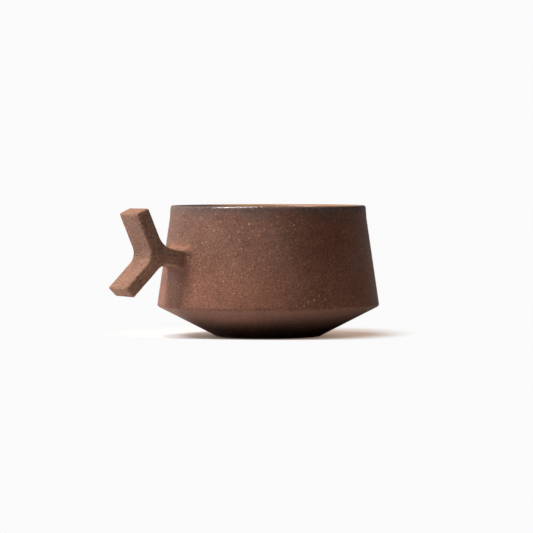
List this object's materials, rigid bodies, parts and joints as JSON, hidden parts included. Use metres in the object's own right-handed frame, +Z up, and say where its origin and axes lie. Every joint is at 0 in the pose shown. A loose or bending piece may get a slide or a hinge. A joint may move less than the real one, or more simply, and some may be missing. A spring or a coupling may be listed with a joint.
{
  "type": "stoneware cup",
  "caption": "Low stoneware cup with a sharp shoulder over a turned cone, a wall that leans in to a glazed lip, and a handle shaped as a forked branch.",
  "frame": {"origin": "centre of the foot ring, in the plane that the cup stands on", "axes": "+Z up along the cup's own axis, -X along the middle of the handle, XZ the plane of symmetry"},
  "size_m": [0.1261, 0.0998, 0.0587],
  "materials": {
    "stoneware_body": "satin iron-brown stoneware with pale specks",
    "stoneware_handle": "dry matt iron-brown stoneware",
    "joint_slip": "sponged slip of the same clay",
    "liner_glaze": "glossy tan glaze that breaks dark grey-brown on the lip"
  },
  "bodies": {
    "root": {"base_bowl": "stoneware_body", "upper_wall": "stoneware_body", "shoulder_slip": "joint_slip", "handle_stem": "stoneware_handle", "handle_upper_arm": "stoneware_handle", "handle_lower_arm": "stoneware_handle", "fork_slip": "joint_slip", "root_slip": "joint_slip", "liner_glaze": "liner_glaze"}
  },
  "joints": []
}
